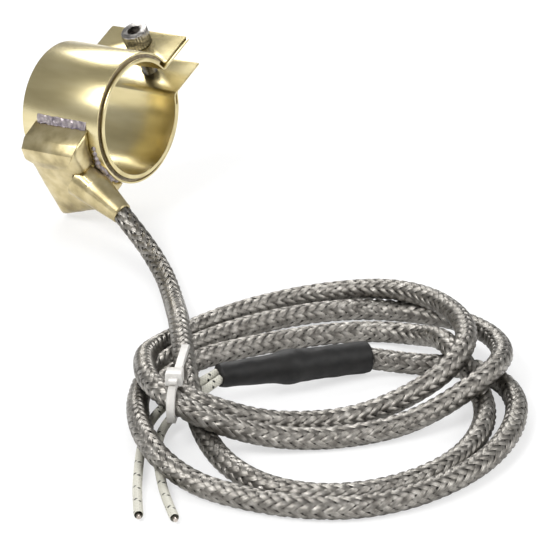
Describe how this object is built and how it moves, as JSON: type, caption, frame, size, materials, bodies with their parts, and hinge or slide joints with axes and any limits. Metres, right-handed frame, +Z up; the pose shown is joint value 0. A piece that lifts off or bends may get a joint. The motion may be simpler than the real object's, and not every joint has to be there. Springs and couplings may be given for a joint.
{
  "type": "nozzle band heater",
  "caption": "Brass clamp-on band heater with a screw across its ears, a soldered lead hood and a braided lead in a tied coil.",
  "frame": {"origin": "centre of the clamping bore", "axes": "bore along Y, its near end on the -Y side tipped up 4 degrees; +Z up from the table that the coil lies on"},
  "size_m": [0.1805, 0.2054, 0.0552],
  "materials": {
    "brass": "satin",
    "mica": "matte",
    "ribbon": "satin",
    "screw": "polished",
    "solder": "satin",
    "braid": "satin",
    "shrink": "satin",
    "tie": "satin",
    "wire": "matte",
    "core": "satin"
  },
  "bodies": {
    "band": {"inner_sleeve": "brass", "outer_casing": "brass", "mica_inner": "mica", "mica_core": "mica", "mica_outer": "mica", "heating_ribbon": "ribbon", "clamp_nut": "screw", "lead_hood": "brass", "hood_tongue": "brass", "lead_ferrule": "brass", "hood_solder": "solder", "lead": "braid", "lead_coil": "braid", "lead_end": "braid", "end_sleeve": "shrink", "cable_tie": "tie", "tail_wire_left": "wire", "tail_wire_right": "wire", "tail_core_left": "core", "tail_core_right": "core"},
    "screw": {"clamp_screw": "screw"}
  },
  "joints": [
    {"name": "screw_turn", "type": "hinge", "parent": "band", "child": "screw", "pos_m": [0.02366, 0.00075, 0.01076], "axis": [-0.4147, 0.0635, 0.9077], "continuous": true}
  ]
}
